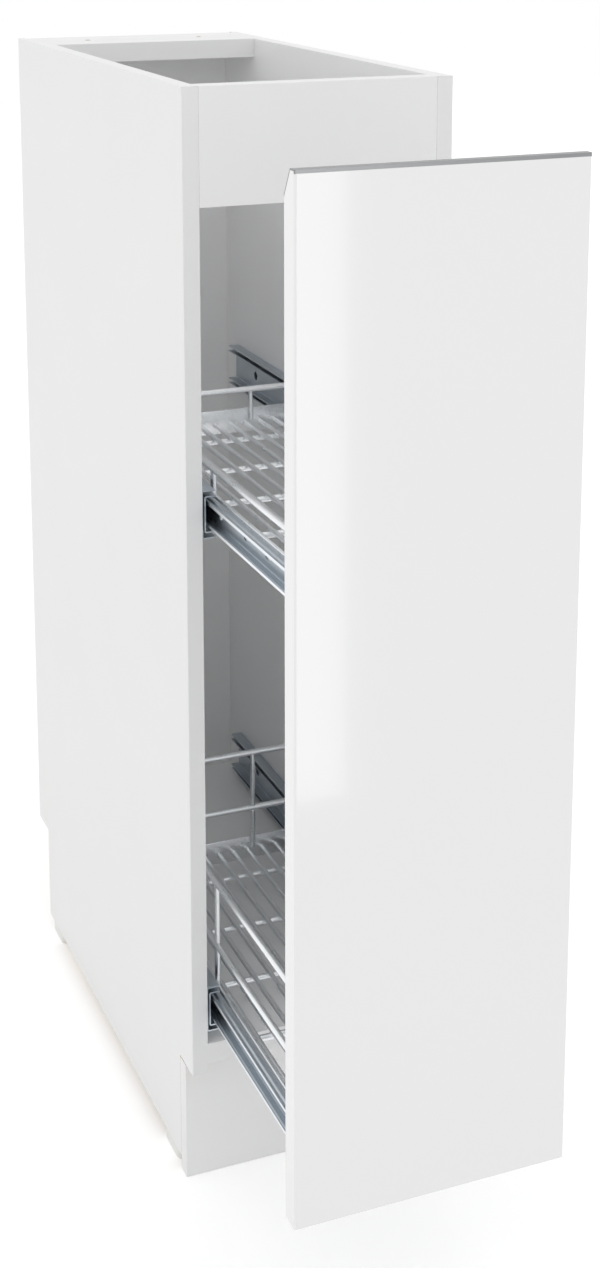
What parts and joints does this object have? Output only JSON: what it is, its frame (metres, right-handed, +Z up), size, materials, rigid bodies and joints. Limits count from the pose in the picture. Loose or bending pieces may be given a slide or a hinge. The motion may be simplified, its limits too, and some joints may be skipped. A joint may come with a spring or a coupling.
{
  "type": "pull-out base cabinet",
  "caption": "Narrow white kitchen base cabinet whose tall front draws out wire baskets on ball-bearing runners; open top for a worktop and a recessed plinth.",
  "frame": {"origin": "on the floor, under the centre of the bounding box with the pull-out drawn out as it stands at rest", "axes": "+Z up, +Y towards the wall behind the cabinet, so the front faces -Y; +X to the right seen from the front"},
  "size_m": [0.2, 0.635, 0.82],
  "materials": {
    "white_melamine": "white melamine on chipboard, satin",
    "back_board": "white-faced fibreboard, matt",
    "gloss_white_front": "white high-gloss film on fibreboard",
    "grip_aluminium": "anodised aluminium, dark satin",
    "white_plastic_band": "white plastic edge band, satin",
    "white_plastic": "moulded white plastic",
    "zinc_steel": "bright zinc-plated sheet",
    "white_coated_steel": "white powder-coated steel sheet, satin",
    "runner_steel": "zinc-plated rolled steel, bluish",
    "cage_steel": "zinc-plated strip",
    "ball_steel": "polished",
    "screw_steel": "zinc-plated",
    "zinc_diecast": "die-cast zinc, matt",
    "chrome_wire": "bright chrome on steel wire",
    "beech": "fluted beech",
    "clear_bumper": "clear soft plastic"
  },
  "bodies": {
    "carcass": {"left_side": "white_melamine", "right_side": "white_melamine", "bottom_board": "white_melamine", "front_rail": "white_melamine", "rear_rail": "white_melamine", "back_panel": "back_board", "plinth_board": "white_melamine", "edge_bands": "white_plastic_band", "plinth_angles": "zinc_steel", "plinth_screws": "screw_steel", "side_glides": "white_plastic", "cam_bolts": "screw_steel", "cams": "zinc_diecast", "dowels": "beech", "back_nails": "screw_steel", "wall_angle": "white_coated_steel", "wall_angle_screws": "screw_steel", "outer_runner_upper_left": "runner_steel", "outer_runner_upper_right": "runner_steel", "outer_runner_lower_left": "runner_steel", "outer_runner_lower_right": "runner_steel", "runner_screws": "screw_steel"},
    "middle_runners": {"middle_runner_upper_left": "runner_steel", "middle_runner_upper_right": "runner_steel", "middle_runner_lower_left": "runner_steel", "middle_runner_lower_right": "runner_steel"},
    "outer_cages": {"outer_ball_cages": "cage_steel", "outer_balls": "ball_steel"},
    "inner_cages": {"inner_ball_cages": "cage_steel", "inner_balls": "ball_steel"},
    "pull_out": {"inner_runner_upper_left": "runner_steel", "inner_runner_upper_right": "runner_steel", "inner_runner_lower_left": "runner_steel", "inner_runner_lower_right": "runner_steel", "upper_basket": "chrome_wire", "lower_basket": "chrome_wire", "front_panel": "gloss_white_front", "grip_strip": "grip_aluminium", "front_brackets": "zinc_steel", "front_bracket_screws": "screw_steel", "basket_screws": "screw_steel", "panel_bumpers": "clear_bumper"}
  },
  "joints": [
    {"name": "pull_out_slide", "type": "slide", "parent": "middle_runners", "child": "pull_out", "axis": [0, -1, 0], "range_m": [-0.177, 0.023]},
    {"name": "middle_runner_slide", "type": "slide", "parent": "carcass", "child": "middle_runners", "axis": [0, -1, 0], "range_m": [0, 0.2]},
    {"name": "outer_cage_slide", "type": "slide", "parent": "carcass", "child": "outer_cages", "axis": [0, -1, 0], "range_m": [-0.0005, 0.1005]},
    {"name": "inner_cage_slide", "type": "slide", "parent": "middle_runners", "child": "inner_cages", "axis": [0, -1, 0], "range_m": [-0.089, 0.012]}
  ],
  "couplings": [
    {"joint": "outer_cage_slide", "follows": "middle_runner_slide", "ratio": 0.5},
    {"joint": "inner_cage_slide", "follows": "pull_out_slide", "ratio": 0.5}
  ]
}
